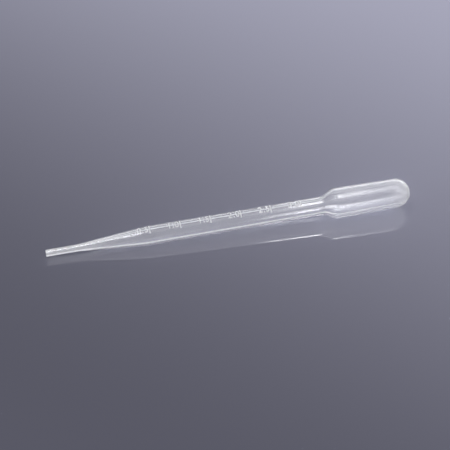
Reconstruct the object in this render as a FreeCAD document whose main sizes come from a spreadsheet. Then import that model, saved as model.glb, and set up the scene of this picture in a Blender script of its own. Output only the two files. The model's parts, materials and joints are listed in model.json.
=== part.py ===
"""Disposable dropper (transfer) pipette, blow-moulded in one piece from low-density polyethylene.

A fine straight tip widens through a long taper into a straight stem, and the stem opens through a
short neck into a squeeze bulb with a domed end.  The stem carries a raised graduation line for each
half millilitre, and a fine parting line runs along both sides, where the mould halves met.

The piece is drawn with its axis along its own X axis and the end of its tip at x = 0.  Its placement
then lays it down as it comes to rest on a flat surface: on the corner where the taper meets the stem
and on the shoulder of the bulb, with the tip just clear of the surface.  The row's origin is on that
surface, under the middle of the laid-down piece.
All lengths are millimetres and all angles are degrees.
"""

import FreeCAD
import Part

import math
import os

import Sketcher

SIZES = {
    # Outside form, from the tip to the bulb.
    "tip_diameter": 2.9,
    "tip_length": 13.5,
    "taper_length": 27.0,
    "stem_diameter": 7.94,
    "stem_length": 76.3,
    "neck_length": 5.2,
    "shoulder_diameter": 13.1,
    "bulb_end_diameter": 12.4,
    "bulb_length": 33.0,
    # Rounding where one stretch runs into the next.
    "tip_blend_radius": 30.0,
    "taper_corner_radius": 20.0,
    "neck_blend_radius": 1.2,
    "shoulder_radius": 3.2,
    # Wall, which the blowing leaves thickest at the tip and thinnest round the bulb.
    "tip_bore_diameter": 1.2,
    "stem_wall": 0.44,
    "bulb_wall": 0.40,
    "dome_wall": 0.60,
    # Raised graduation lines on top of the stem, evenly spaced between its two end gaps.
    # With this stem and its bore, they come half a millilitre apart.
    "graduation_count": 6,
    "gap_before_graduations": 2.6,
    "gap_after_graduations": 9.8,
    "graduation_bead_radius": 0.35,
    "graduation_height": 0.15,
    "graduation_arc": 64.0,
    # Parting line of the mould.
    "parting_line_width": 0.24,
    "parting_line_height": 0.06,
}

# The stretches of the outline end at these distances from the end of the tip.
TAPER_START = "sizes.tip_length"
STEM_START = f"{TAPER_START} + sizes.taper_length"
STEM_END = f"{STEM_START} + sizes.stem_length"
SHOULDER = f"{STEM_END} + sizes.neck_length"
POLE = f"{SHOULDER} + sizes.bulb_length"
FIRST_GRADUATION = f"{STEM_START} + sizes.gap_before_graduations"
GRADUATED_LENGTH = "sizes.stem_length - sizes.gap_before_graduations - sizes.gap_after_graduations"


def make_sizes(doc):
    """The spreadsheet of driving dimensions, one named cell for each."""
    sheet = doc.addObject("Spreadsheet::Sheet", "sizes")
    for row, (name, value) in enumerate(SIZES.items(), start=1):
        sheet.set(f"A{row}", name)
        sheet.set(f"B{row}", str(value))
        sheet.setAlias(f"B{row}", name)
    doc.recompute()
    return sheet


def value_of(owner, formula):
    """The number that a formula on the sheet gives now."""
    value = owner.evalExpression(formula)
    return float(getattr(value, "Value", value))


def point(along, radius):
    """A point of a sketch, with x along the pipette's axis and y away from it."""
    return FreeCAD.Vector(along, radius, 0)


def new_sketch(body, name, role):
    """An empty sketch on one of the body's own origin planes."""
    sketch = body.newObject("Sketcher::SketchObject", name)
    plane = next(f for f in body.Origin.OriginFeatures if f.Role == role)
    sketch.AttachmentSupport = [(plane, "")]
    sketch.MapMode = "FlatFace"
    return sketch


def bind(sketch, kind, where, formula):
    """A dimension of the sketch that follows a formula on the sheet."""
    constraint = Sketcher.Constraint(kind, *where, value_of(sketch, formula))
    index = sketch.addConstraint(constraint)
    sketch.setExpression(f"Constraints[{index}]", formula)


def arc_between(first, last, centre):
    """The short arc from first to last, and the sketch's numbers for those two ends of it."""
    circle = Part.Circle(centre, FreeCAD.Vector(0, 0, 1), (first - centre).Length)
    if (first - centre).cross(last - centre).z > 0:
        return Part.ArcOfCircle(circle, circle.parameter(first), circle.parameter(last)), (1, 2)
    return Part.ArcOfCircle(circle, circle.parameter(last), circle.parameter(first)), (2, 1)


def rounded(before, corner, after, radius):
    """Where an arc of that radius touches the two lines that meet in a corner, and its centre."""
    into = (corner - before).normalize()
    out = (after - corner).normalize()
    reach = radius * math.tan(into.getAngle(out) / 2)
    middle = corner + (out - into).normalize() * math.hypot(reach, radius)
    return corner - into * reach, corner + out * reach, middle


def touching_point(outside, centre, radius):
    """Where the line from an outside point touches a circle, on the side away from the axis."""
    towards = outside - centre
    bearing = math.atan2(towards.y, towards.x) - math.acos(radius / towards.Length)
    return centre + point(radius * math.cos(bearing), radius * math.sin(bearing))


def half_section(body, name, role, radii, blends, dome_radius, end):
    """A closed sketch between the axis and an outline that runs from the tip to the pole.

    radii gives the outline's radius at the end of the tip and at each turn, and blends the radius
    that rounds each turn.  The last stretch runs tangent into a dome centred on the axis."""
    sketch = new_sketch(body, name, role)
    origin = point(0, 0)
    start = point(0, value_of(sketch, radii[0]))
    turns = [
        point(value_of(sketch, along), value_of(sketch, radius))
        for along, radius in zip((TAPER_START, STEM_START, STEM_END, SHOULDER), radii[1:])
    ]
    pole = point(value_of(sketch, end), 0)
    centre = pole - point(value_of(sketch, dome_radius), 0)
    brow = touching_point(turns[-1], centre, value_of(sketch, dome_radius))

    stops = [start]
    centres = []
    for before, turn, after, blend in zip([start] + turns, turns, turns[1:] + [brow], blends):
        leaves, joins, middle = rounded(before, turn, after, value_of(sketch, blend))
        stops += [leaves, joins]
        centres.append(middle)
    stops.append(brow)

    lines = [
        sketch.addGeometry(Part.LineSegment(a, b), False) for a, b in zip(stops[::2], stops[1::2])
    ]
    for index, middle in enumerate(centres):
        arc, (first, last) = arc_between(stops[2 * index + 1], stops[2 * index + 2], middle)
        rounding = sketch.addGeometry(arc, False)
        tangent(sketch, lines[index], 2, rounding, first)
        tangent(sketch, lines[index + 1], 1, rounding, last)
        bind(sketch, "Radius", (rounding,), blends[index])

    arc, (first, last) = arc_between(brow, pole, centre)
    dome = sketch.addGeometry(arc, False)
    axis = sketch.addGeometry(Part.LineSegment(pole, origin), False)
    mouth = sketch.addGeometry(Part.LineSegment(origin, start), False)
    tangent(sketch, lines[-1], 2, dome, first)
    bind(sketch, "Radius", (dome,), dome_radius)
    sketch.addConstraint(
        [
            Sketcher.Constraint("Coincident", dome, last, axis, 1),
            Sketcher.Constraint("PointOnObject", dome, 3, -1),
            Sketcher.Constraint("PointOnObject", axis, 1, -1),
            Sketcher.Constraint("Coincident", axis, 2, -1, 1),
            Sketcher.Constraint("Coincident", mouth, 1, -1, 1),
            Sketcher.Constraint("Coincident", mouth, 2, lines[0], 1),
            Sketcher.Constraint("Vertical", mouth),
        ]
    )
    bind(sketch, "DistanceX", (axis, 1), end)
    bind(sketch, "DistanceY", (lines[0], 1), radii[0])

    for index, turn in enumerate(turns):
        corner = sketch.addGeometry(Part.Point(turn), True)
        along = (TAPER_START, STEM_START, STEM_END, SHOULDER)[index]
        bind(sketch, "DistanceX", (corner, 1), along)
        bind(sketch, "DistanceY", (corner, 1), radii[index + 1])
        sketch.addConstraint(Sketcher.Constraint("PointOnObject", corner, 1, lines[index]))
        sketch.addConstraint(Sketcher.Constraint("PointOnObject", corner, 1, lines[index + 1]))
    return sketch


def tangent(sketch, line, line_end, arc, arc_end):
    """Joins one end of a line to one end of an arc without a corner."""
    sketch.addConstraint(Sketcher.Constraint("Tangent", line, line_end, arc, arc_end))


def outside(grown):
    """The formulas of the outside form, with everything set out by grown."""
    radii = [f"sizes.tip_diameter / 2 + {grown}"] * 2
    radii += [f"sizes.stem_diameter / 2 + {grown}"] * 2
    radii += [f"sizes.shoulder_diameter / 2 + {grown}"]
    blends = [
        f"sizes.tip_blend_radius - {grown}",
        f"sizes.taper_corner_radius + {grown}",
        f"sizes.neck_blend_radius - {grown}",
        f"sizes.shoulder_radius + {grown}",
    ]
    return radii, blends, f"sizes.bulb_end_diameter / 2 + {grown}", f"{POLE} + {grown}"


def inside():
    """The formulas of the hollow: the outside form less the wall of each stretch."""
    bore = "sizes.tip_bore_diameter / 2"
    stem = "sizes.stem_diameter / 2 - sizes.stem_wall"
    shoulder = "sizes.shoulder_diameter / 2 - sizes.bulb_wall"
    blends = [
        f"sizes.tip_blend_radius + sizes.tip_diameter / 2 - {bore}",
        "sizes.taper_corner_radius - sizes.stem_wall",
        "sizes.neck_blend_radius + sizes.stem_wall",
        "sizes.shoulder_radius - sizes.bulb_wall",
    ]
    dome = "sizes.bulb_end_diameter / 2 - sizes.bulb_wall"
    return [bore, bore, stem, stem, shoulder], blends, dome, f"{POLE} - sizes.dome_wall"


def turn_about_axis(body, kind, name, sketch):
    """A revolved feature about the pipette's own axis."""
    feature = body.newObject(kind, name)
    feature.Profile = sketch
    feature.ReferenceAxis = (sketch, ["H_Axis"])
    feature.Angle = 360
    sketch.Visibility = False
    return feature


def add_parting_line(body):
    """A fine fin on both sides, in the plane where the mould halves met."""
    sketch = half_section(body, "parting_outline", "XY_Plane", *outside("sizes.parting_line_height"))
    fin = body.newObject("PartDesign::Pad", "parting_fin")
    fin.Profile = sketch
    fin.Midplane = True
    fin.setExpression("Length", "sizes.parting_line_width")
    body.Document.recompute()
    pair = body.newObject("PartDesign::Mirrored", "parting_line")
    pair.Originals = [fin]
    pair.MirrorPlane = (sketch, ["H_Axis"])
    body.Tip = pair


def add_graduations(body):
    """Raised lines part of the way round the top of the stem, evenly spaced along it.

    Each is a half-round bead, sunk into the wall so that only its crest stands proud."""
    sketch = new_sketch(body, "graduation_section", "XZ_Plane")
    level = "sizes.stem_diameter / 2 + sizes.graduation_height - sizes.graduation_bead_radius"
    radius = value_of(sketch, "sizes.graduation_bead_radius")
    middle = point(value_of(sketch, FIRST_GRADUATION), value_of(sketch, level))
    circle = Part.Circle(middle, FreeCAD.Vector(0, 0, 1), radius)
    bead = sketch.addGeometry(Part.ArcOfCircle(circle, 0, math.pi), False)
    foot = sketch.addGeometry(
        Part.LineSegment(middle - point(radius, 0), middle + point(radius, 0)), False
    )
    sketch.addConstraint(
        [
            Sketcher.Constraint("Coincident", bead, 2, foot, 1),
            Sketcher.Constraint("Coincident", bead, 1, foot, 2),
            Sketcher.Constraint("PointOnObject", bead, 3, foot),
            Sketcher.Constraint("Horizontal", foot),
        ]
    )
    bind(sketch, "Radius", (bead,), "sizes.graduation_bead_radius")
    bind(sketch, "DistanceX", (bead, 3), FIRST_GRADUATION)
    bind(sketch, "DistanceY", (bead, 3), level)
    line = turn_about_axis(body, "PartDesign::Revolution", "graduation_line", sketch)
    line.Midplane = True
    line.setExpression("Angle", "sizes.graduation_arc")
    body.Document.recompute()
    row = body.newObject("PartDesign::LinearPattern", "graduations")
    row.Originals = [line]
    row.Direction = (sketch, ["H_Axis"])
    row.setExpression("Length", GRADUATED_LENGTH)
    row.setExpression("Occurrences", "sizes.graduation_count")
    body.Tip = row


def resting_placement(sheet):
    """Lays the pipette down on a flat surface, the row's origin on it and under the middle.

    The surface touches one rounding of the outline on each side of the pipette's balance, so it is
    their common tangent: here the taper's corner and the bulb's shoulder."""
    tip = sheet.tip_diameter / 2
    dome = sheet.bulb_end_diameter / 2
    stem_start = sheet.tip_length + sheet.taper_length
    stem_end = stem_start + sheet.stem_length
    shoulder = point(stem_end + sheet.neck_length, sheet.shoulder_diameter / 2)
    dome_centre = point(shoulder.x + sheet.bulb_length - dome, 0)

    tip_corner = point(0, tip)
    taper_start = point(sheet.tip_length, tip)
    taper_corner = point(stem_start, sheet.stem_diameter / 2)
    neck_corner = point(stem_end, sheet.stem_diameter / 2)
    brow = touching_point(shoulder, dome_centre, dome)
    taper_round = rounded(taper_start, taper_corner, neck_corner, sheet.taper_corner_radius)[2]
    shoulder_round = rounded(neck_corner, shoulder, brow, sheet.shoulder_radius)[2]
    fronts = [(tip_corner, 0), (taper_round, sheet.taper_corner_radius)]
    backs = [(shoulder_round, sheet.shoulder_radius), (dome_centre, dome)]

    def lean_on(front, back):
        apart = back[0] - front[0]
        return math.atan2(apart.y, apart.x) + math.asin((back[1] - front[1]) / apart.Length)

    back = max(backs, key=lambda back: min(lean_on(front, back) for front in fronts))
    front = min(fronts, key=lambda front: lean_on(front, back))
    lean = lean_on(front, back)
    centre, radius = front
    height = radius + centre.y * math.cos(lean) - centre.x * math.sin(lean)
    reach = dome_centre.x * math.cos(lean) + dome + sheet.parting_line_height
    middle = (reach - tip * math.sin(lean)) / 2
    return FreeCAD.Placement(
        FreeCAD.Vector(-middle, 0, height),
        FreeCAD.Rotation(FreeCAD.Vector(0, -1, 0), math.degrees(lean)),
    )


def make_pipette(doc, sheet):
    """The whole pipette as one body: outside form, parting line, hollow and graduations."""
    body = doc.addObject("PartDesign::Body", "pipette")
    body.Label = "dropper_pipette"
    outline = half_section(body, "outside_outline", "XZ_Plane", *outside("0"))
    turn_about_axis(body, "PartDesign::Revolution", "outside_form", outline)
    doc.recompute()
    add_parting_line(body)
    doc.recompute()
    solid_volume = body.Shape.Volume
    hollow = half_section(body, "hollow_outline", "XZ_Plane", *inside())
    turn_about_axis(body, "PartDesign::Groove", "hollow", hollow)
    doc.recompute()
    if body.Shape.Volume > solid_volume / 2:
        raise RuntimeError("the hollow was not cut")
    add_graduations(body)
    body.Placement = resting_placement(sheet)
    doc.recompute()
    return body


def check_document(doc, bodies):
    """Stops the build if any object failed or any sub-part has no sound shape."""
    failed = [o.Name for o in doc.Objects if "Invalid" in o.State or "Error" in o.State]
    if failed:
        raise RuntimeError(f"these objects failed: {failed}")
    for body in bodies:
        if body.Shape.isNull() or not body.Shape.isValid():
            raise RuntimeError(f"{body.Label} has no sound shape")
        if len(body.Shape.Solids) != 1:
            raise RuntimeError(f"{body.Label} is {len(body.Shape.Solids)} solids, not one")


def main():
    doc = FreeCAD.newDocument("dropper_pipette")
    sheet = make_sizes(doc)
    bodies = [make_pipette(doc, sheet)]
    check_document(doc, bodies)
    os.makedirs("parts", exist_ok=True)
    for body in bodies:
        body.Shape.exportStep(f"parts/{body.Label}.step")


main()
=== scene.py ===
"""A plastic dropper pipette on a studio floor.

The pipette is one blow-moulded piece of natural low-density polyethylene: a thick little tip, a
taper, a thin-walled stem with raised graduations, and a bulb. Its wall is turned as one closed
shell, and its numbers are raised on the stem. Lengths are in metres.
"""

import json
import math

import bmesh
import bpy
from mathutils import Matrix, Vector


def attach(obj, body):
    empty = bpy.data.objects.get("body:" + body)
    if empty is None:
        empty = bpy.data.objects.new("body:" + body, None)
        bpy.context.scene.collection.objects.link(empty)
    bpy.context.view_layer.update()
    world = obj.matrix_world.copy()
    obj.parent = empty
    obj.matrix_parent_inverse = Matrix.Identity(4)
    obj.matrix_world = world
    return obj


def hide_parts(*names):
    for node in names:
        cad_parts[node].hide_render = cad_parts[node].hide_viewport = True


bl_info = {
    "name": "Dropper Pipette",
    "version": (1, 0, 0),
    "blender": (4, 5, 0),
    "location": "3D View > Sidebar > Pipette",
    "description": "Turns a graduated plastic dropper pipette and sets it on a studio floor",
    "category": "Add Mesh",
}

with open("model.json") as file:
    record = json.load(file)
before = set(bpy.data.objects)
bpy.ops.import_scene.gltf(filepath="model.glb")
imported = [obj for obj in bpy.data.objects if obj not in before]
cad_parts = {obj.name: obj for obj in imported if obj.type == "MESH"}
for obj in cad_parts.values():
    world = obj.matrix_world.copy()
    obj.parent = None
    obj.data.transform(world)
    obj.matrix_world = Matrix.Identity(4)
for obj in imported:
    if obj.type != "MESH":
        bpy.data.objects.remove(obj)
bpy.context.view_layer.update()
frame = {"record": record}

MM = 0.001
NODE = "dropper_pipette"
BODY = "root"
TIP_MOUNT_MIDDLE = 6.0 * MM  # the record's tip mount is centred this far from the tip's end
LONGEST_FACE = 1.8 * MM  # no face of the wall is longer along the axis
LINE_FOOT = 0.05 * MM  # how deep a raised line is rooted in the wall
NUMBER_EDGE = 0.05 * MM  # rounding of the raised numbers' edges
NUMBER_SINK = 0.06 * MM  # how far the numbers sink into the wall: just more than their edges
ARC_STEP = math.radians(4.0)  # the turn between two points of a rounding, at most
IOR = 1.51  # of low-density polyethylene
LINE_FINISH = ("frosted_polyethylene", 0.06)  # the parting line's material and how clear it is
MARK_FINISH = ("half_clear_polyethylene", 0.52)  # the same of the graduations and numbers


# ---------------------------------------------------------------- small helpers


def linear(hex_colour):
    """An sRGB hex colour such as "D8DCE0" as linear red, green and blue."""
    out = []
    for start in (0, 2, 4):
        value = int(hex_colour[start : start + 2], 16) / 255
        out.append(value / 12.92 if value <= 0.04045 else ((value + 0.055) / 1.055) ** 2.4)
    return tuple(out)


def length(name, millimetres, description):
    """A length a user can change, given in millimetres and kept in metres."""
    return bpy.props.FloatProperty(
        name=name,
        description=description,
        default=millimetres * MM,
        min=0.0,
        precision=5,
        unit="LENGTH",
        subtype="DISTANCE",
    )


def colour(name, hex_colour, description):
    """A colour a user can change, given as sRGB hex and kept linear."""
    return bpy.props.FloatVectorProperty(
        name=name,
        description=description,
        default=linear(hex_colour),
        min=0.0,
        max=1.0,
        size=3,
        subtype="COLOR",
    )


def add_node(tree, kind, settings=None, inputs=None):
    """Adds a node with its settings, and its inputs given as values or as sockets to link from."""
    node = tree.nodes.new(kind)
    for name, value in (settings or {}).items():
        setattr(node, name, value)
    for name, value in (inputs or {}).items():
        if isinstance(value, bpy.types.NodeSocket):
            tree.links.new(value, node.inputs[name])
        else:
            node.inputs[name].default_value = value
    return node


def new_object(name, mesh):
    """An object at the origin that shows the mesh."""
    made = bpy.data.objects.new(name, mesh)
    bpy.context.scene.collection.objects.link(made)
    return made


def finish_piece(piece):
    """Lets a finished piece move with the part."""
    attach(piece, BODY)


# ---------------------------------------------------------------- sizes and finishes


class PipetteSizes(bpy.types.PropertyGroup):
    """The sizes of the pipette, along its own axis from the tip's end."""

    tip_diameter: length("Tip Diameter", 2.9, "Outer diameter of the tip")
    tip_length: length("Tip Length", 13.5, "Length of the straight tip")
    taper_length: length("Taper Length", 27.0, "Length of the cone between tip and stem")
    stem_diameter: length("Stem Diameter", 7.94, "Outer diameter of the stem")
    stem_length: length("Stem Length", 76.3, "Length of the straight stem")
    neck_length: length("Neck Length", 5.2, "Length of the cone between stem and bulb")
    shoulder_diameter: length("Shoulder Diameter", 13.1, "Bulb diameter where the neck meets it")
    bulb_end_diameter: length("Bulb End Diameter", 12.4, "Diameter of the dome that ends the bulb")
    bulb_length: length("Bulb Length", 33.0, "Length from the shoulder to the end of the dome")
    tip_bore: length("Tip Bore", 1.2, "Diameter of the channel in the tip")
    stem_wall: length("Stem Wall", 0.44, "Thickness of the stem's wall")
    bulb_wall: length("Bulb Wall", 0.40, "Thickness of the bulb's wall")
    dome_wall: length("Dome Wall", 0.60, "Thickness at the very end of the dome")
    mouth_edge: length("Mouth Edge", 0.10, "Rounding of the tip's two end edges")
    tip_blend: length("Tip Blend", 30.0, "Radius where the tip runs into the taper")
    taper_blend: length("Taper Blend", 20.0, "Radius where the taper runs into the stem")
    neck_blend: length("Neck Blend", 1.2, "Radius where the stem runs into the neck")
    shoulder_blend: length("Shoulder Blend", 3.2, "Radius where the neck runs into the bulb")
    # the real parting line is about 0.24 mm wide, too fine to show, so it is drawn wider
    fin_width: length("Parting Line Width", 0.7, "Width of the line the mould halves leave")
    bulb_fin_width: length("Parting Line Width on Bulb", 0.3, "Width of the same line on the bulb")
    fin_height: length("Parting Line Height", 0.059, "How far the parting line stands out")
    bead_gap: length("Gap Before Beads", 2.6, "From the start of the stem to the first bead")
    bead_end_gap: length("Gap After Beads", 9.8, "From the last bead to the end of the stem")
    bead_radius: length("Bead Radius", 0.35, "Radius of a graduation's rounded section")
    bead_height: length("Bead Height", 0.15, "How far a graduation stands out")
    bead_arc: bpy.props.FloatProperty(
        name="Bead Arc",
        description="How far round the stem a graduation reaches",
        default=math.radians(64.0),
        unit="ROTATION",
        subtype="ANGLE",
    )
    bead_count: bpy.props.IntProperty(
        name="Bead Count", description="Number of graduations", default=6, min=2
    )
    digit_height: length("Digit Height", 3.3, "Height of the raised numbers, round the stem")
    digit_relief: length("Digit Relief", 0.15, "How far the numbers stand out")
    number_step: bpy.props.FloatProperty(
        name="Number Step",
        description="What one graduation is worth, in millilitres",
        default=0.5,
        min=0.0,
    )
    columns: bpy.props.IntProperty(
        name="Columns",
        description="Number of faces round the turned wall",
        default=160,
        min=16,
    )


class PipetteFinish(bpy.types.PropertyGroup):
    """The colours of the plastic and of the studio."""

    plastic: colour("Plastic", "FCFCFE", "Natural polyethylene, nearly clear")
    plastic_cloud: colour("Plastic Cloud", "F8F8FA", "Polyethylene where the wall is hazier")
    mark: colour("Mark", "FDFDFE", "Polyethylene of the numbers and lines")
    mark_cloud: colour("Mark Cloud", "F6F7F9", "Where the numbers and lines are duller")
    floor: colour("Floor", "5B5B68", "Plain grey sheet under the pipette")
    # painted light: the lighter colour the sheet shows towards the back right
    floor_painted_light: colour("Far Floor", "CACADD", "The same sheet, paler towards the back right")
    room: colour("Room", "E6E6F4", "The pale room round the floor")


# ---------------------------------------------------------------- the section of the wall


def corner_arc(before, corner, after, radius):
    """Points of the arc that rounds a corner, evenly turned, with its two ends."""
    arrive = (corner - before).normalized()
    leave = (after - corner).normalized()
    turn = math.atan2(arrive.x * leave.y - arrive.y * leave.x, arrive.dot(leave))
    side = 1.0 if turn > 0 else -1.0
    start = corner - arrive * (radius * math.tan(abs(turn) / 2))
    centre = start + Vector((-arrive.y, arrive.x)) * (side * radius)
    count = max(2, math.ceil(abs(turn) / ARC_STEP))
    spoke = start - centre
    return [centre + Matrix.Rotation(turn * i / count, 2) @ spoke for i in range(count + 1)]


def rounded_line(corners, radii):
    """A line of (along, out) points through the corners, the inner ones rounded."""
    points = [corners[0]]
    for i, radius in enumerate(radii, start=1):
        points += corner_arc(corners[i - 1], corners[i], corners[i + 1], radius)
    return points + [corners[-1]]


def dome_arc(shoulder, pole, radius):
    """The dome's arc, from where the line from the shoulder touches it to its pole."""
    centre = Vector((pole - radius, 0.0))
    offset = shoulder - centre
    touch = math.atan2(offset.y, offset.x) - math.acos(radius / offset.length)
    count = math.ceil(touch / ARC_STEP)
    angles = [touch * i / count for i in range(count, -1, -1)]
    return [centre + radius * Vector((math.cos(a), math.sin(a))) for a in angles]


def stations(sizes):
    """Where the taper, stem, neck and bulb start along the axis, and where the dome ends."""
    taper = sizes.tip_length
    stem = taper + sizes.taper_length
    neck = stem + sizes.stem_length
    shoulder = neck + sizes.neck_length
    pole = shoulder + sizes.bulb_length
    return taper, stem, neck, shoulder, pole


def wall_side(sizes, outside):
    """The corners, roundings and dome of the wall's outer or inner side, tip's end first."""
    taper, stem, neck, shoulder, pole = stations(sizes)
    stem_in = 0.0 if outside else sizes.stem_wall
    bulb_in = 0.0 if outside else sizes.bulb_wall
    tip_radius = (sizes.tip_diameter if outside else sizes.tip_bore) / 2
    stem_radius = sizes.stem_diameter / 2 - stem_in
    touching = Vector((shoulder, sizes.shoulder_diameter / 2 - bulb_in))
    dome = dome_arc(
        touching,
        pole if outside else pole - sizes.dome_wall,
        sizes.bulb_end_diameter / 2 - bulb_in,
    )
    corners = [
        Vector((0.0, tip_radius)),
        Vector((taper, tip_radius)),
        Vector((stem, stem_radius)),
        Vector((neck, stem_radius)),
        touching,
    ]
    blends = [
        sizes.tip_blend + sizes.tip_diameter / 2 - tip_radius,
        sizes.taper_blend - stem_in,
        sizes.neck_blend + stem_in,
        sizes.shoulder_blend - bulb_in,
    ]
    return corners, blends, dome


def outer_line(sizes):
    """The outer side of the wall as (along, out) points, from the tip's end to the pole."""
    corners, blends, dome = wall_side(sizes, True)
    return rounded_line(corners + dome[:1], blends) + dome[1:]


def bead_places(sizes):
    """Where the graduations stand along the axis."""
    _, stem, neck, _, _ = stations(sizes)
    first = stem + sizes.bead_gap
    last = neck - sizes.bead_end_gap
    pitch = (last - first) / (sizes.bead_count - 1)
    return [first + pitch * i for i in range(sizes.bead_count)]


def radius_at(line, along):
    """The line's radius at a place along the axis."""
    for a, b in zip(line, line[1:]):
        if a.x <= along <= b.x and b.x > a.x:
            return a.lerp(b, (along - a.x) / (b.x - a.x)).y
    raise ValueError(f"the wall has no radius at {along}")


def with_more_points(line):
    """The line with points added so that no face of the wall is longer than the longest."""
    points = []
    for a, b in zip(line, line[1:]):
        count = max(1, math.ceil(abs(b.x - a.x) / LONGEST_FACE))
        points += [a.lerp(b, i / count) for i in range(count)]
    return points + [line[-1]]


def wall_section(sizes):
    """The closed section: outer pole, shoulder, tip, mouth, then the inner side to its pole."""
    outer, outer_blends, outer_dome = wall_side(sizes, True)
    inner, inner_blends, inner_dome = wall_side(sizes, False)
    corners = outer_dome[:1] + outer[::-1] + inner + inner_dome[:1]
    mouth = [sizes.mouth_edge, sizes.mouth_edge]
    line = rounded_line(corners, outer_blends[::-1] + mouth + inner_blends)
    return with_more_points(outer_dome[:0:-1] + line + inner_dome[1:])


def resting_place():
    """Takes the pipette's own axis, which starts at the tip's end, to its place at rest."""
    tip = next(m for m in frame["record"]["mounts"] if m["name"] == "tip")
    axis = -Vector(tip["axis"]).normalized()
    start = Vector(tip["pos_m"]) - axis * TIP_MOUNT_MIDDLE
    side = Vector((0.0, 1.0, 0.0))
    turn = Matrix((axis, side, axis.cross(side))).transposed()
    return Matrix.Translation(start) @ turn.to_4x4()


# ---------------------------------------------------------------- geometry nodes


def new_tree(name, inputs):
    """An empty geometry tree with a geometry output; gives its inputs' sockets by name."""
    tree = bpy.data.node_groups.new(name, "GeometryNodeTree")
    sockets = {}
    for label, kind in inputs:
        sockets[label] = tree.interface.new_socket(name=label, in_out="INPUT", socket_type=kind)
    tree.interface.new_socket(name="Made", in_out="OUTPUT", socket_type="NodeSocketGeometry")
    return tree, sockets


def lathe_tree():
    """Turns a section, a line of points with x along the axis and y outwards, into a wall."""
    tree, sockets = new_tree(
        "turned_wall",
        (
            ("Section", "NodeSocketGeometry"),
            ("Columns", "NodeSocketInt"),
            ("Material", "NodeSocketMaterial"),
        ),
    )
    given = add_node(tree, "NodeGroupInput").outputs

    # a flat grid with one row for each point of the section and one column more than asked for
    size = add_node(
        tree, "GeometryNodeAttributeDomainSize", {"component": "MESH"}, {0: given["Section"]}
    )
    across = add_node(
        tree, "FunctionNodeIntegerMath", {"operation": "ADD"}, {0: given["Columns"], 1: 1}
    )
    grid = add_node(
        tree,
        "GeometryNodeMeshGrid",
        {},
        {"Vertices X": size.outputs["Point Count"], "Vertices Y": across.outputs[0]},
    )
    index = add_node(tree, "GeometryNodeInputIndex")
    row = add_node(
        tree,
        "FunctionNodeIntegerMath",
        {"operation": "DIVIDE_FLOOR"},
        {0: index.outputs[0], 1: across.outputs[0]},
    )
    column = add_node(
        tree,
        "FunctionNodeIntegerMath",
        {"operation": "MODULO"},
        {0: index.outputs[0], 1: across.outputs[0]},
    )

    # the row's point, turned by the column's angle from the top
    position = add_node(tree, "GeometryNodeInputPosition")
    place = add_node(
        tree,
        "GeometryNodeSampleIndex",
        {"data_type": "FLOAT_VECTOR"},
        {"Geometry": given["Section"], "Value": position.outputs[0], "Index": row.outputs[0]},
    )
    place = add_node(tree, "ShaderNodeSeparateXYZ", {}, {0: place.outputs["Value"]})
    turn = add_node(
        tree,
        "ShaderNodeMath",
        {"operation": "DIVIDE"},
        {0: column.outputs[0], 1: given["Columns"]},
    )
    angle = add_node(
        tree, "ShaderNodeMath", {"operation": "MULTIPLY"}, {0: turn.outputs[0], 1: math.tau}
    )
    turned = add_node(
        tree,
        "ShaderNodeVectorRotate",
        {"rotation_type": "X_AXIS"},
        {"Vector": (0.0, 0.0, 1.0), "Angle": angle.outputs[0]},
    )
    out = add_node(
        tree,
        "ShaderNodeVectorMath",
        {"operation": "SCALE"},
        {0: turned.outputs[0], "Scale": place.outputs["Y"]},
    )
    along = add_node(tree, "ShaderNodeCombineXYZ", {}, {"X": place.outputs["X"]})
    position = add_node(
        tree, "ShaderNodeVectorMath", {"operation": "ADD"}, {0: along.outputs[0], 1: out.outputs[0]}
    )

    # seam and poles closed
    wall = add_node(
        tree,
        "GeometryNodeSetPosition",
        {},
        {"Geometry": grid.outputs["Mesh"], "Position": position.outputs[0]},
    )
    wall = add_node(
        tree, "GeometryNodeMergeByDistance", {}, {"Geometry": wall.outputs[0], "Distance": 1e-7}
    )
    wall = add_node(tree, "GeometryNodeSetShadeSmooth", {}, {0: wall.outputs[0]})
    wall = add_node(tree, "GeometryNodeRealizeInstances", {}, {0: wall.outputs[0]})
    wall = add_node(
        tree,
        "GeometryNodeSetMaterial",
        {},
        {"Geometry": wall.outputs[0], "Material": given["Material"]},
    )
    add_node(tree, "NodeGroupOutput", {}, {0: wall.outputs[0]})
    return tree, sockets


def row_tree():
    """Repeats a shape along the axis, one pitch apart."""
    tree, sockets = new_tree(
        "row_of_beads",
        (
            ("Shape", "NodeSocketGeometry"),
            ("Count", "NodeSocketInt"),
            ("Pitch", "NodeSocketFloat"),
            ("Material", "NodeSocketMaterial"),
        ),
    )
    given = add_node(tree, "NodeGroupInput").outputs
    step = add_node(tree, "ShaderNodeCombineXYZ", {}, {"X": given["Pitch"]})
    places = add_node(
        tree, "GeometryNodeMeshLine", {}, {"Count": given["Count"], "Offset": step.outputs[0]}
    )
    row = add_node(
        tree,
        "GeometryNodeInstanceOnPoints",
        {},
        {"Points": places.outputs[0], "Instance": given["Shape"]},
    )
    row = add_node(tree, "GeometryNodeRealizeInstances", {}, {0: row.outputs[0]})
    row = add_node(
        tree,
        "GeometryNodeSetMaterial",
        {},
        {"Geometry": row.outputs[0], "Material": given["Material"]},
    )
    add_node(tree, "NodeGroupOutput", {}, {0: row.outputs[0]})
    return tree, sockets


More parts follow.
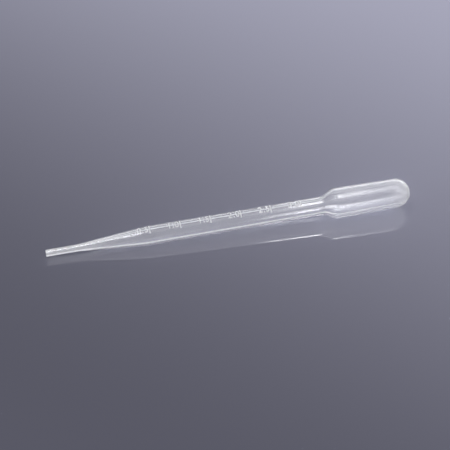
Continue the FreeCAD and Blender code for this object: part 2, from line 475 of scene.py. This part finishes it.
def evaluated(template, tree, sockets, values):
    """The plain mesh that a tree makes of a template mesh, with its named inputs set."""
    holder = new_object("template", template)
    modifier = holder.modifiers.new("tree", "NODES")
    modifier.node_group = tree
    for name, value in values.items():
        modifier[sockets[name].identifier] = value
    depsgraph = bpy.context.evaluated_depsgraph_get()
    mesh = bpy.data.meshes.new_from_object(holder.evaluated_get(depsgraph))
    holder.modifiers.remove(modifier)
    bpy.data.objects.remove(holder)
    mesh.materials.clear()
    mesh.materials.append(values["Material"])
    return mesh


# ---------------------------------------------------------------- materials


def moulded_polyethylene(sizes, finish):
    """Natural low-density polyethylene, blow moulded: waxy, milky and see-through where thin.

    The eye gets a soft gloss, haze that gathers at the rims, in the thick tip and at the dome's
    end, and faint drawn-out streaks along the wall.
    """
    material = bpy.data.materials.get("moulded_polyethylene")
    if material:
        return material
    material = bpy.data.materials.new("moulded_polyethylene")
    material.use_nodes = True
    tree = material.node_tree
    tree.nodes.clear()
    where = add_node(tree, "ShaderNodeTexCoord").outputs["Object"]
    tip_end = resting_place().translation.x
    taper, _, neck, shoulder, pole = (tip_end + along for along in stations(sizes))

    # flow lines from the mould, about 1.2 mm across and 20 mm long
    drawn = add_node(
        tree, "ShaderNodeMapping", {}, {"Vector": where, "Scale": (50.0, 830.0, 830.0)}
    )
    streaks = add_node(
        tree,
        "ShaderNodeTexNoise",
        {},
        {"Vector": drawn.outputs[0], "Scale": 1.0, "Detail": 3.0, "Roughness": 0.55},
    )
    tint = add_node(
        tree,
        "ShaderNodeMix",
        {"data_type": "RGBA"},
        {
            "Factor": streaks.outputs["Fac"],
            6: (*finish.plastic_cloud, 1.0),
            7: (*finish.plastic, 1.0),
        },
    )
    gloss = add_node(
        tree,
        "ShaderNodeMapRange",
        {},
        {
            "Value": streaks.outputs["Fac"],
            "From Min": 0.3,
            "From Max": 0.7,
            "To Min": 0.03,
            "To Max": 0.08,
        },
    )
    # the bulb, past the neck, is more matt than the stem, as from a blasted part of the mould
    place = add_node(tree, "ShaderNodeSeparateXYZ", {}, {"Vector": where})
    blasted = add_node(
        tree,
        "ShaderNodeMapRange",
        {"interpolation_type": "SMOOTHSTEP"},
        {
            "Value": place.outputs["X"],
            "From Min": neck - 1.3 * MM,
            "From Max": shoulder + 3.5 * MM,
            "To Max": 0.12,
        },
    )
    matt = add_node(
        tree,
        "ShaderNodeMath",
        {"operation": "ADD"},
        {0: gloss.outputs[0], 1: blasted.outputs[0]},
    )
    # the skin's slight unevenness, about 1.5 mm from hump to hump
    skin = add_node(
        tree,
        "ShaderNodeTexNoise",
        {},
        {"Vector": where, "Scale": 650.0, "Detail": 2.0, "Roughness": 0.5},
    )
    bump = add_node(
        tree,
        "ShaderNodeBump",
        {},
        {"Strength": 0.02, "Distance": 0.05 * MM, "Height": skin.outputs["Fac"]},
    )
    plastic = add_node(
        tree,
        "ShaderNodeBsdfPrincipled",
        {},
        {
            "Base Color": tint.outputs[2],
            "Roughness": matt.outputs[0],
            "IOR": IOR,
            "Transmission Weight": 0.97,
            "Normal": bump.outputs[0],
        },
    )
    # haze, denser in the tip, whose thick plastic is milky as if it had cooled slowly
    milky = add_node(
        tree,
        "ShaderNodeMapRange",
        {"interpolation_type": "SMOOTHSTEP"},
        {
            "Value": place.outputs["X"],
            "From Min": taper - 2.0 * MM,
            "From Max": taper + 14.0 * MM,
            "To Min": 400.0,
            "To Max": 150.0,
        },
    )
    # the dome's end is thicker than the bulb's side too, and milkier
    dome = add_node(
        tree,
        "ShaderNodeMapRange",
        {"interpolation_type": "SMOOTHSTEP"},
        {
            "Value": place.outputs["X"],
            "From Min": pole - 10.5 * MM,
            "From Max": pole - 0.5 * MM,
            "To Max": 650.0,
        },
    )
    density = add_node(
        tree,
        "ShaderNodeMath",
        {"operation": "ADD"},
        {0: milky.outputs[0], 1: dome.outputs[0]},
    )
    haze = add_node(
        tree,
        "ShaderNodeVolumeScatter",
        {},
        {"Color": (*linear("FFFFFF"), 1.0), "Density": density.outputs[0], "Anisotropy": 0.5},
    )
    # light passes the thin wall almost straight, so that the plastic casts only a faint shadow
    path = add_node(tree, "ShaderNodeLightPath")
    passing = add_node(tree, "ShaderNodeBsdfTransparent", {}, {"Color": (*linear("F7F8F9"), 1.0)})
    surface = add_node(
        tree,
        "ShaderNodeMixShader",
        {},
        {0: path.outputs["Is Shadow Ray"], 1: plastic.outputs[0], 2: passing.outputs[0]},
    )
    add_node(
        tree,
        "ShaderNodeOutputMaterial",
        {},
        {"Surface": surface.outputs[0], "Volume": haze.outputs[0]},
    )
    return material


def frosted_polyethylene(name, clear, finish):
    """The same polyethylene where it stands out from the wall: matt, whiter and less clear.

    The eye gets a bright white line, and fainter marks where clear is higher, both of them a
    little uneven along their length.
    """
    material = bpy.data.materials.get(name)
    if material:
        return material
    material = bpy.data.materials.new(name)
    material.use_nodes = True
    tree = material.node_tree
    tree.nodes.clear()
    where = add_node(tree, "ShaderNodeTexCoord").outputs["Object"]
    # patches about 0.6 mm across
    patches = add_node(
        tree, "ShaderNodeTexNoise", {}, {"Vector": where, "Scale": 1600.0, "Detail": 2.0}
    )
    tint = add_node(
        tree,
        "ShaderNodeMix",
        {"data_type": "RGBA"},
        {
            "Factor": patches.outputs["Fac"],
            6: (*finish.mark_cloud, 1.0),
            7: (*finish.mark, 1.0),
        },
    )
    bump = add_node(
        tree,
        "ShaderNodeBump",
        {},
        {"Strength": 0.3, "Distance": 0.05 * MM, "Height": patches.outputs["Fac"]},
    )
    plastic = add_node(
        tree,
        "ShaderNodeBsdfPrincipled",
        {},
        {
            "Base Color": tint.outputs[2],
            "Roughness": 0.35,
            "IOR": IOR,
            "Transmission Weight": clear,
            "Normal": bump.outputs[0],
        },
    )
    add_node(tree, "ShaderNodeOutputMaterial", {}, {"Surface": plastic.outputs[0]})
    return material


def grey_sheet(finish):
    """A smooth, glossy, plain plastic sheet, in which the eye gets a soft mirror image."""
    material = bpy.data.materials.new("grey_studio_sheet")
    material.use_nodes = True
    tree = material.node_tree
    tree.nodes.clear()
    where = add_node(tree, "ShaderNodeTexCoord").outputs["Object"]
    # very slight orange peel, some 6 mm from hump to hump, that softens what is mirrored
    peel = add_node(
        tree, "ShaderNodeTexNoise", {}, {"Vector": where, "Scale": 160.0, "Detail": 2.0}
    )
    bump = add_node(
        tree,
        "ShaderNodeBump",
        {},
        {"Strength": 0.004, "Distance": 0.02 * MM, "Height": peel.outputs["Fac"]},
    )
    # painted light: the sheet's colour lightens towards the back right, over some 0.4 m
    along = add_node(
        tree,
        "ShaderNodeVectorMath",
        {"operation": "DOT_PRODUCT"},
        {0: where, 1: Vector((0.70, 0.71, 0.0))},
    )
    painted_light = add_node(
        tree,
        "ShaderNodeMapRange",
        {"interpolation_type": "SMOOTHSTEP"},
        {"Value": along.outputs["Value"], "From Min": -0.115, "From Max": 0.285},
    )
    sheet_and_painted_light = add_node(
        tree,
        "ShaderNodeMix",
        {"data_type": "RGBA"},
        {
            "Factor": painted_light.outputs[0],
            6: (*finish.floor, 1.0),
            7: (*finish.floor_painted_light, 1.0),
        },
    )
    sheet = add_node(
        tree,
        "ShaderNodeBsdfPrincipled",
        {},
        {
            "Base Color": sheet_and_painted_light.outputs[2],
            "Roughness": 0.03,
            "IOR": 2.0,
            "Normal": bump.outputs[0],
        },
    )
    add_node(tree, "ShaderNodeOutputMaterial", {}, {"Surface": sheet.outputs[0]})
    return material


# ---------------------------------------------------------------- pieces


class PIPETTE_OT_turn_wall(bpy.types.Operator):
    """Turn the pipette's closed wall"""

    bl_idname = "pipette.turn_wall"
    bl_label = "Turn the Wall"

    def execute(self, context):
        sizes = context.scene.pipette_sizes
        line = wall_section(sizes)
        section = bpy.data.meshes.new("section")
        edges = [(i, i + 1) for i in range(len(line) - 1)]
        section.from_pydata([(p.x, p.y, 0.0) for p in line], edges, [])
        tree, sockets = lathe_tree()
        material = moulded_polyethylene(sizes, context.scene.pipette_finish)
        mesh = evaluated(section, tree, sockets, {"Columns": sizes.columns, "Material": material})
        mesh.transform(resting_place())
        wall = new_object("pipette_wall", mesh)
        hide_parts(NODE)
        finish_piece(wall)
        return {"FINISHED"}


def bead_profile(width, height):
    """The section of a raised line, as (across, out) points: a low bow with a foot in the wall."""
    bow = [-0.5 + i / 8 for i in range(9)]
    top = [(width * t, height * (1 - 4 * t * t)) for t in bow]
    return top + [(width / 2, -LINE_FOOT), (-width / 2, -LINE_FOOT)]


def swept_mesh(name, rings):
    """A closed mesh through rings of points, each ring a closed section, with its ends capped."""
    count = len(rings[0])
    verts = [point for ring in rings for point in ring]
    faces = [tuple(range(count)), tuple(range(len(verts) - 1, len(verts) - count - 1, -1))]
    for start in range(0, len(verts) - count, count):
        for i in range(count):
            j = (i + 1) % count
            faces.append((start + i, start + count + i, start + count + j, start + j))
    mesh = bpy.data.meshes.new(name)
    mesh.from_pydata(verts, [], faces)
    tidy = bmesh.new()
    tidy.from_mesh(mesh)
    bmesh.ops.recalc_face_normals(tidy, faces=tidy.faces)
    tidy.to_mesh(mesh)
    tidy.free()
    return mesh


class PIPETTE_OT_raise_parting_line(bpy.types.Operator):
    """Raise the thin line that the two mould halves leave, at both sides and round the dome"""

    bl_idname = "pipette.raise_parting_line"
    bl_label = "Raise the Parting Line"

    def execute(self, context):
        sizes = context.scene.pipette_sizes
        near = with_more_points(outer_line(sizes))
        path = near + [Vector((p.x, -p.y)) for p in near[-2::-1]]
        neck = stations(sizes)[2]
        rings = []
        for i, point in enumerate(path):
            # the line gets narrower along the neck
            share = min(1.0, max(0.0, (point.x - neck) / sizes.neck_length))
            width = sizes.fin_width + share * (sizes.bulb_fin_width - sizes.fin_width)
            profile = bead_profile(width, sizes.fin_height)
            along = path[min(i + 1, len(path) - 1)] - path[max(i - 1, 0)]
            out = Vector((-along.y, along.x)).normalized()
            places = [(point + out * up, across) for across, up in profile]
            rings.append([(p.x, p.y, across) for p, across in places])
        mesh = swept_mesh("parting_line", rings)
        finish = context.scene.pipette_finish
        mesh.materials.append(frosted_polyethylene(*LINE_FINISH, finish))
        mesh.transform(resting_place())
        finish_piece(new_object("parting_line", mesh))
        return {"FINISHED"}


class PIPETTE_OT_raise_graduations(bpy.types.Operator):
    """Raise the row of graduation beads over the top of the stem"""

    bl_idname = "pipette.raise_graduations"
    bl_label = "Raise the Graduations"

    def execute(self, context):
        sizes = context.scene.pipette_sizes
        finish = context.scene.pipette_finish
        places = bead_places(sizes)
        sunk = sizes.bead_radius - sizes.bead_height
        width = 2 * math.sqrt(sizes.bead_radius**2 - sunk**2)
        profile = bead_profile(width, sizes.bead_height)
        rings = []
        steps = 28
        for i in range(steps + 1):
            angle = sizes.bead_arc * (i / steps - 0.5)
            # each end starts at 0.3 of the height and reaches all of it in four steps
            fade = min(1.0, 0.3 + 0.2 * min(i, steps - i))
            ring = []
            for across, up in profile:
                out = sizes.stem_diameter / 2 + (up * fade if up > 0 else up)
                ring.append((places[0] + across, out * math.sin(angle), out * math.cos(angle)))
            rings.append(ring)
        bead = swept_mesh("bead", rings)
        tree, sockets = row_tree()
        values = {
            "Count": sizes.bead_count,
            "Pitch": places[1] - places[0],
            "Material": frosted_polyethylene(*MARK_FINISH, finish),
        }
        mesh = evaluated(bead, tree, sockets, values)
        mesh.transform(resting_place())
        finish_piece(new_object("graduation_beads", mesh))
        return {"FINISHED"}


def number_mesh(text, sizes):
    """A raised number lying flat, half of its thickness below the origin."""
    words = bpy.data.curves.new("number", "FONT")
    words.body = text
    words.size = sizes.digit_height / 0.73  # a digit is 0.73 of the font's size
    words.extrude = sizes.digit_relief / 2
    words.bevel_depth = NUMBER_EDGE
    words.bevel_resolution = 1
    words.space_character = 1.12
    words.resolution_u = 4
    holder = new_object("number", words)
    depsgraph = bpy.context.evaluated_depsgraph_get()
    mesh = bpy.data.meshes.new_from_object(holder.evaluated_get(depsgraph))
    bpy.data.objects.remove(holder)
    return mesh


def bend_number(number, line, bead, sizes):
    """Lays a flat number round the stem, where it ends just before its bead."""
    squeeze = 0.82  # the digits are narrower than the font's
    bands = 12  # it is cut into flat bands round the stem
    xs = [v.co.x for v in number.verts]
    ys = [v.co.y for v in number.verts]
    left = min(xs)
    low = min(ys)
    high = max(ys)
    middle = (low + high) / 2
    start = bead - 1.6 * sizes.bead_radius - (max(xs) - left) * squeeze
    for i in range(1, bands):
        bmesh.ops.bisect_plane(
            number,
            geom=number.verts[:] + number.edges[:] + number.faces[:],
            plane_co=(0.0, low + (high - low) * i / bands, 0.0),
            plane_no=(0.0, 1.0, 0.0),
        )
    bmesh.ops.triangulate(number, faces=number.faces)
    for v in number.verts:
        along = start + (v.co.x - left) * squeeze
        radius = radius_at(line, along)
        angle = (v.co.y - middle) / radius
        out = radius + v.co.z + sizes.digit_relief / 2 - NUMBER_SINK
        v.co = (along, out * math.sin(angle), out * math.cos(angle))


class PIPETTE_OT_raise_numbers(bpy.types.Operator):
    """Raise a number on the stem beside each graduation"""

    bl_idname = "pipette.raise_numbers"
    bl_label = "Raise the Numbers"

    def execute(self, context):
        sizes = context.scene.pipette_sizes
        finish = context.scene.pipette_finish
        line = outer_line(sizes)
        numbers = bmesh.new()
        for count, bead in enumerate(bead_places(sizes), start=1):
            mesh = number_mesh(f"{count * sizes.number_step:.1f}", sizes)
            one = bmesh.new()
            one.from_mesh(mesh)
            bpy.data.meshes.remove(mesh)
            bmesh.ops.remove_doubles(one, verts=one.verts, dist=1e-7)
            bend_number(one, line, bead, sizes)
            bent = bpy.data.meshes.new("bent")
            one.to_mesh(bent)
            one.free()
            numbers.from_mesh(bent)
            bpy.data.meshes.remove(bent)
        mesh = bpy.data.meshes.new("graduation_numbers")
        numbers.to_mesh(mesh)
        numbers.free()
        mesh.materials.append(frosted_polyethylene(*MARK_FINISH, finish))
        mesh.transform(resting_place())
        finish_piece(new_object("graduation_numbers", mesh))
        return {"FINISHED"}


# ---------------------------------------------------------------- studio


# the pipette's lamps: name, place, width and height, and level
LAMPS = (
    ("overhead", (0.0, 0.05, 1.2), (1.2, 0.6), 0.12),
    ("overhead_right", (0.14, 0.03, 0.50), (0.07, 0.26), 0.17),
    ("overhead_left", (-0.17, 0.03, 0.50), (0.14, 0.26), 0.24),
    ("front", (0.27, -1.2, 0.4), (0.13, 0.7), 0.055),
    ("front_bulb", (0.385, -1.2, 0.33), (0.07, 0.3), 0.03),
    ("front_left", (-1.3, -1.2, 0.4), (1.4, 0.9), 0.68),
    ("front_right", (2.2, -1.2, 0.4), (1.6, 0.9), 0.09),
    ("back_high", (0.06, 0.5, 0.5), (0.46, 0.35), 0.03),
    ("back_left", (-0.30, 1.5, 0.30), (1.1, 0.45), 0.13),
    ("back_right", (0.90, 1.5, 0.30), (1.3, 0.45), 0.21),
    ("back_mid", (0.33, 0.9, 0.52), (0.36, 0.25), 0.03),
    ("right", (1.6, 0.9, 0.30), (1.0, 0.5), 0.055),
)
LAMP_AIM = (0.0, 0.0, 0.006)  # the middle of the pipette


def area_lamp(name, at, size, level, lights):
    """A soft rectangular lamp that adds about level to the brightness of a surface facing it.

    The light-linking collection lights says what it shines on.
    """
    data = bpy.data.lights.new(name, "AREA")
    data.shape = "RECTANGLE"
    data.size, data.size_y = size
    away = Vector(at) - Vector(LAMP_AIM)
    data.energy = level * math.pi**2 * away.length_squared
    lamp = bpy.data.objects.new(name, data)
    bpy.context.scene.collection.objects.link(lamp)
    lamp.location = at
    # its first side stays level and as near to the x axis as it can
    back = away.normalized()
    side = (Vector((1.0, 0.0, 0.0)) - back * back.x).normalized()
    lamp.rotation_euler = Matrix((side, back.cross(side), back)).transposed().to_euler()
    lamp.visible_camera = False
    lamp.light_linking.receiver_collection = lights
    return lamp


class PIPETTE_OT_set_studio(bpy.types.Operator):
    """Lay the floor, hang the lamps and set the camera"""

    bl_idname = "pipette.set_studio"
    bl_label = "Set the Studio"

    def execute(self, context):
        scene = context.scene
        finish = scene.pipette_finish
        bm = bmesh.new()
        bmesh.ops.create_grid(bm, x_segments=8, y_segments=8, size=4.0)
        mesh = bpy.data.meshes.new("floor")
        bm.to_mesh(mesh)
        bm.free()
        mesh.materials.append(grey_sheet(finish))
        floor = new_object("floor", mesh)
        # one lamp lights the sheet, and the rest the pipette alone, so that the sheet stays even
        # and doesn't mirror them
        sheet_only = bpy.data.collections.new("sheet_only")
        sheet_only.objects.link(floor)
        pipette_only = bpy.data.collections.new("pipette_only")
        pipette_only.objects.link(floor)
        pipette_only.collection_objects[0].light_linking.link_state = "EXCLUDE"

        world = bpy.data.worlds.new("studio")
        world.use_nodes = True
        tree = world.node_tree
        tree.nodes.clear()
        light = add_node(
            tree, "ShaderNodeBackground", {}, {"Color": (*finish.room, 1.0), "Strength": 0.3}
        )
        add_node(tree, "ShaderNodeOutputWorld", {}, {"Surface": light.outputs[0]})
        scene.world = world

        # the sheet doesn't mirror its own lamp, so that it looks as grey from above as from the side
        sheet_lamp = area_lamp("sheet", (0.0, 0.0, 1.3), (1.6, 1.0), 0.74, sheet_only)
        sheet_lamp.visible_glossy = False
        for name, at, size, level in LAMPS:
            area_lamp(name, at, size, level, pipette_only)

        # the camera looks down at the side of the pipette, a little from the tip's side
        elevation, azimuth = math.radians(46.1), math.radians(-11.82)
        distance, aim = 0.4185, Vector((-0.00277, 0.0, 0.00345))
        back = Vector(
            (
                math.sin(azimuth) * math.cos(elevation),
                -math.cos(azimuth) * math.cos(elevation),
                math.sin(elevation),
            )
        )
        data = bpy.data.cameras.new("camera")
        data.lens = 80.0
        data.clip_start = 0.02
        camera = bpy.data.objects.new("camera", data)
        scene.collection.objects.link(camera)
        camera.location = aim + back * distance
        camera.rotation_euler = back.to_track_quat("Z", "Y").to_euler()
        scene.camera = camera
        scene.view_settings.view_transform = "Standard"
        # light has to cross many thin walls to come through the pipette
        scene.cycles.max_bounces = 32
        scene.cycles.transmission_bounces = 24
        scene.cycles.transparent_max_bounces = 24
        scene.cycles.glossy_bounces = 12
        scene.cycles.diffuse_bounces = 6
        scene.cycles.volume_bounces = 8
        return {"FINISHED"}


class PIPETTE_PT_panel(bpy.types.Panel):
    """The pipette's sizes, colours and steps"""

    bl_label = "Dropper Pipette"
    bl_idname = "PIPETTE_PT_panel"
    bl_space_type = "VIEW_3D"
    bl_region_type = "UI"
    bl_category = "Pipette"

    def draw(self, context):
        layout = self.layout
        for group in (context.scene.pipette_sizes, context.scene.pipette_finish):
            box = layout.box()
            for name in group.__annotations__:
                box.prop(group, name)
        for step in STEPS:
            layout.operator(step.bl_idname)


STEPS = (
    PIPETTE_OT_turn_wall,
    PIPETTE_OT_raise_parting_line,
    PIPETTE_OT_raise_graduations,
    PIPETTE_OT_raise_numbers,
    PIPETTE_OT_set_studio,
)
CLASSES = (PipetteSizes, PipetteFinish, *STEPS, PIPETTE_PT_panel)


def register():
    for cls in CLASSES:
        bpy.utils.register_class(cls)
    bpy.types.Scene.pipette_sizes = bpy.props.PointerProperty(type=PipetteSizes)
    bpy.types.Scene.pipette_finish = bpy.props.PointerProperty(type=PipetteFinish)


def unregister():
    del bpy.types.Scene.pipette_finish
    del bpy.types.Scene.pipette_sizes
    for cls in reversed(CLASSES):
        bpy.utils.unregister_class(cls)


def main():
    """Makes every piece and the studio."""
    register()
    bpy.ops.pipette.turn_wall()
    bpy.ops.pipette.raise_parting_line()
    bpy.ops.pipette.raise_graduations()
    bpy.ops.pipette.raise_numbers()
    bpy.ops.pipette.set_studio()


if __name__ == "__main__":
    main()
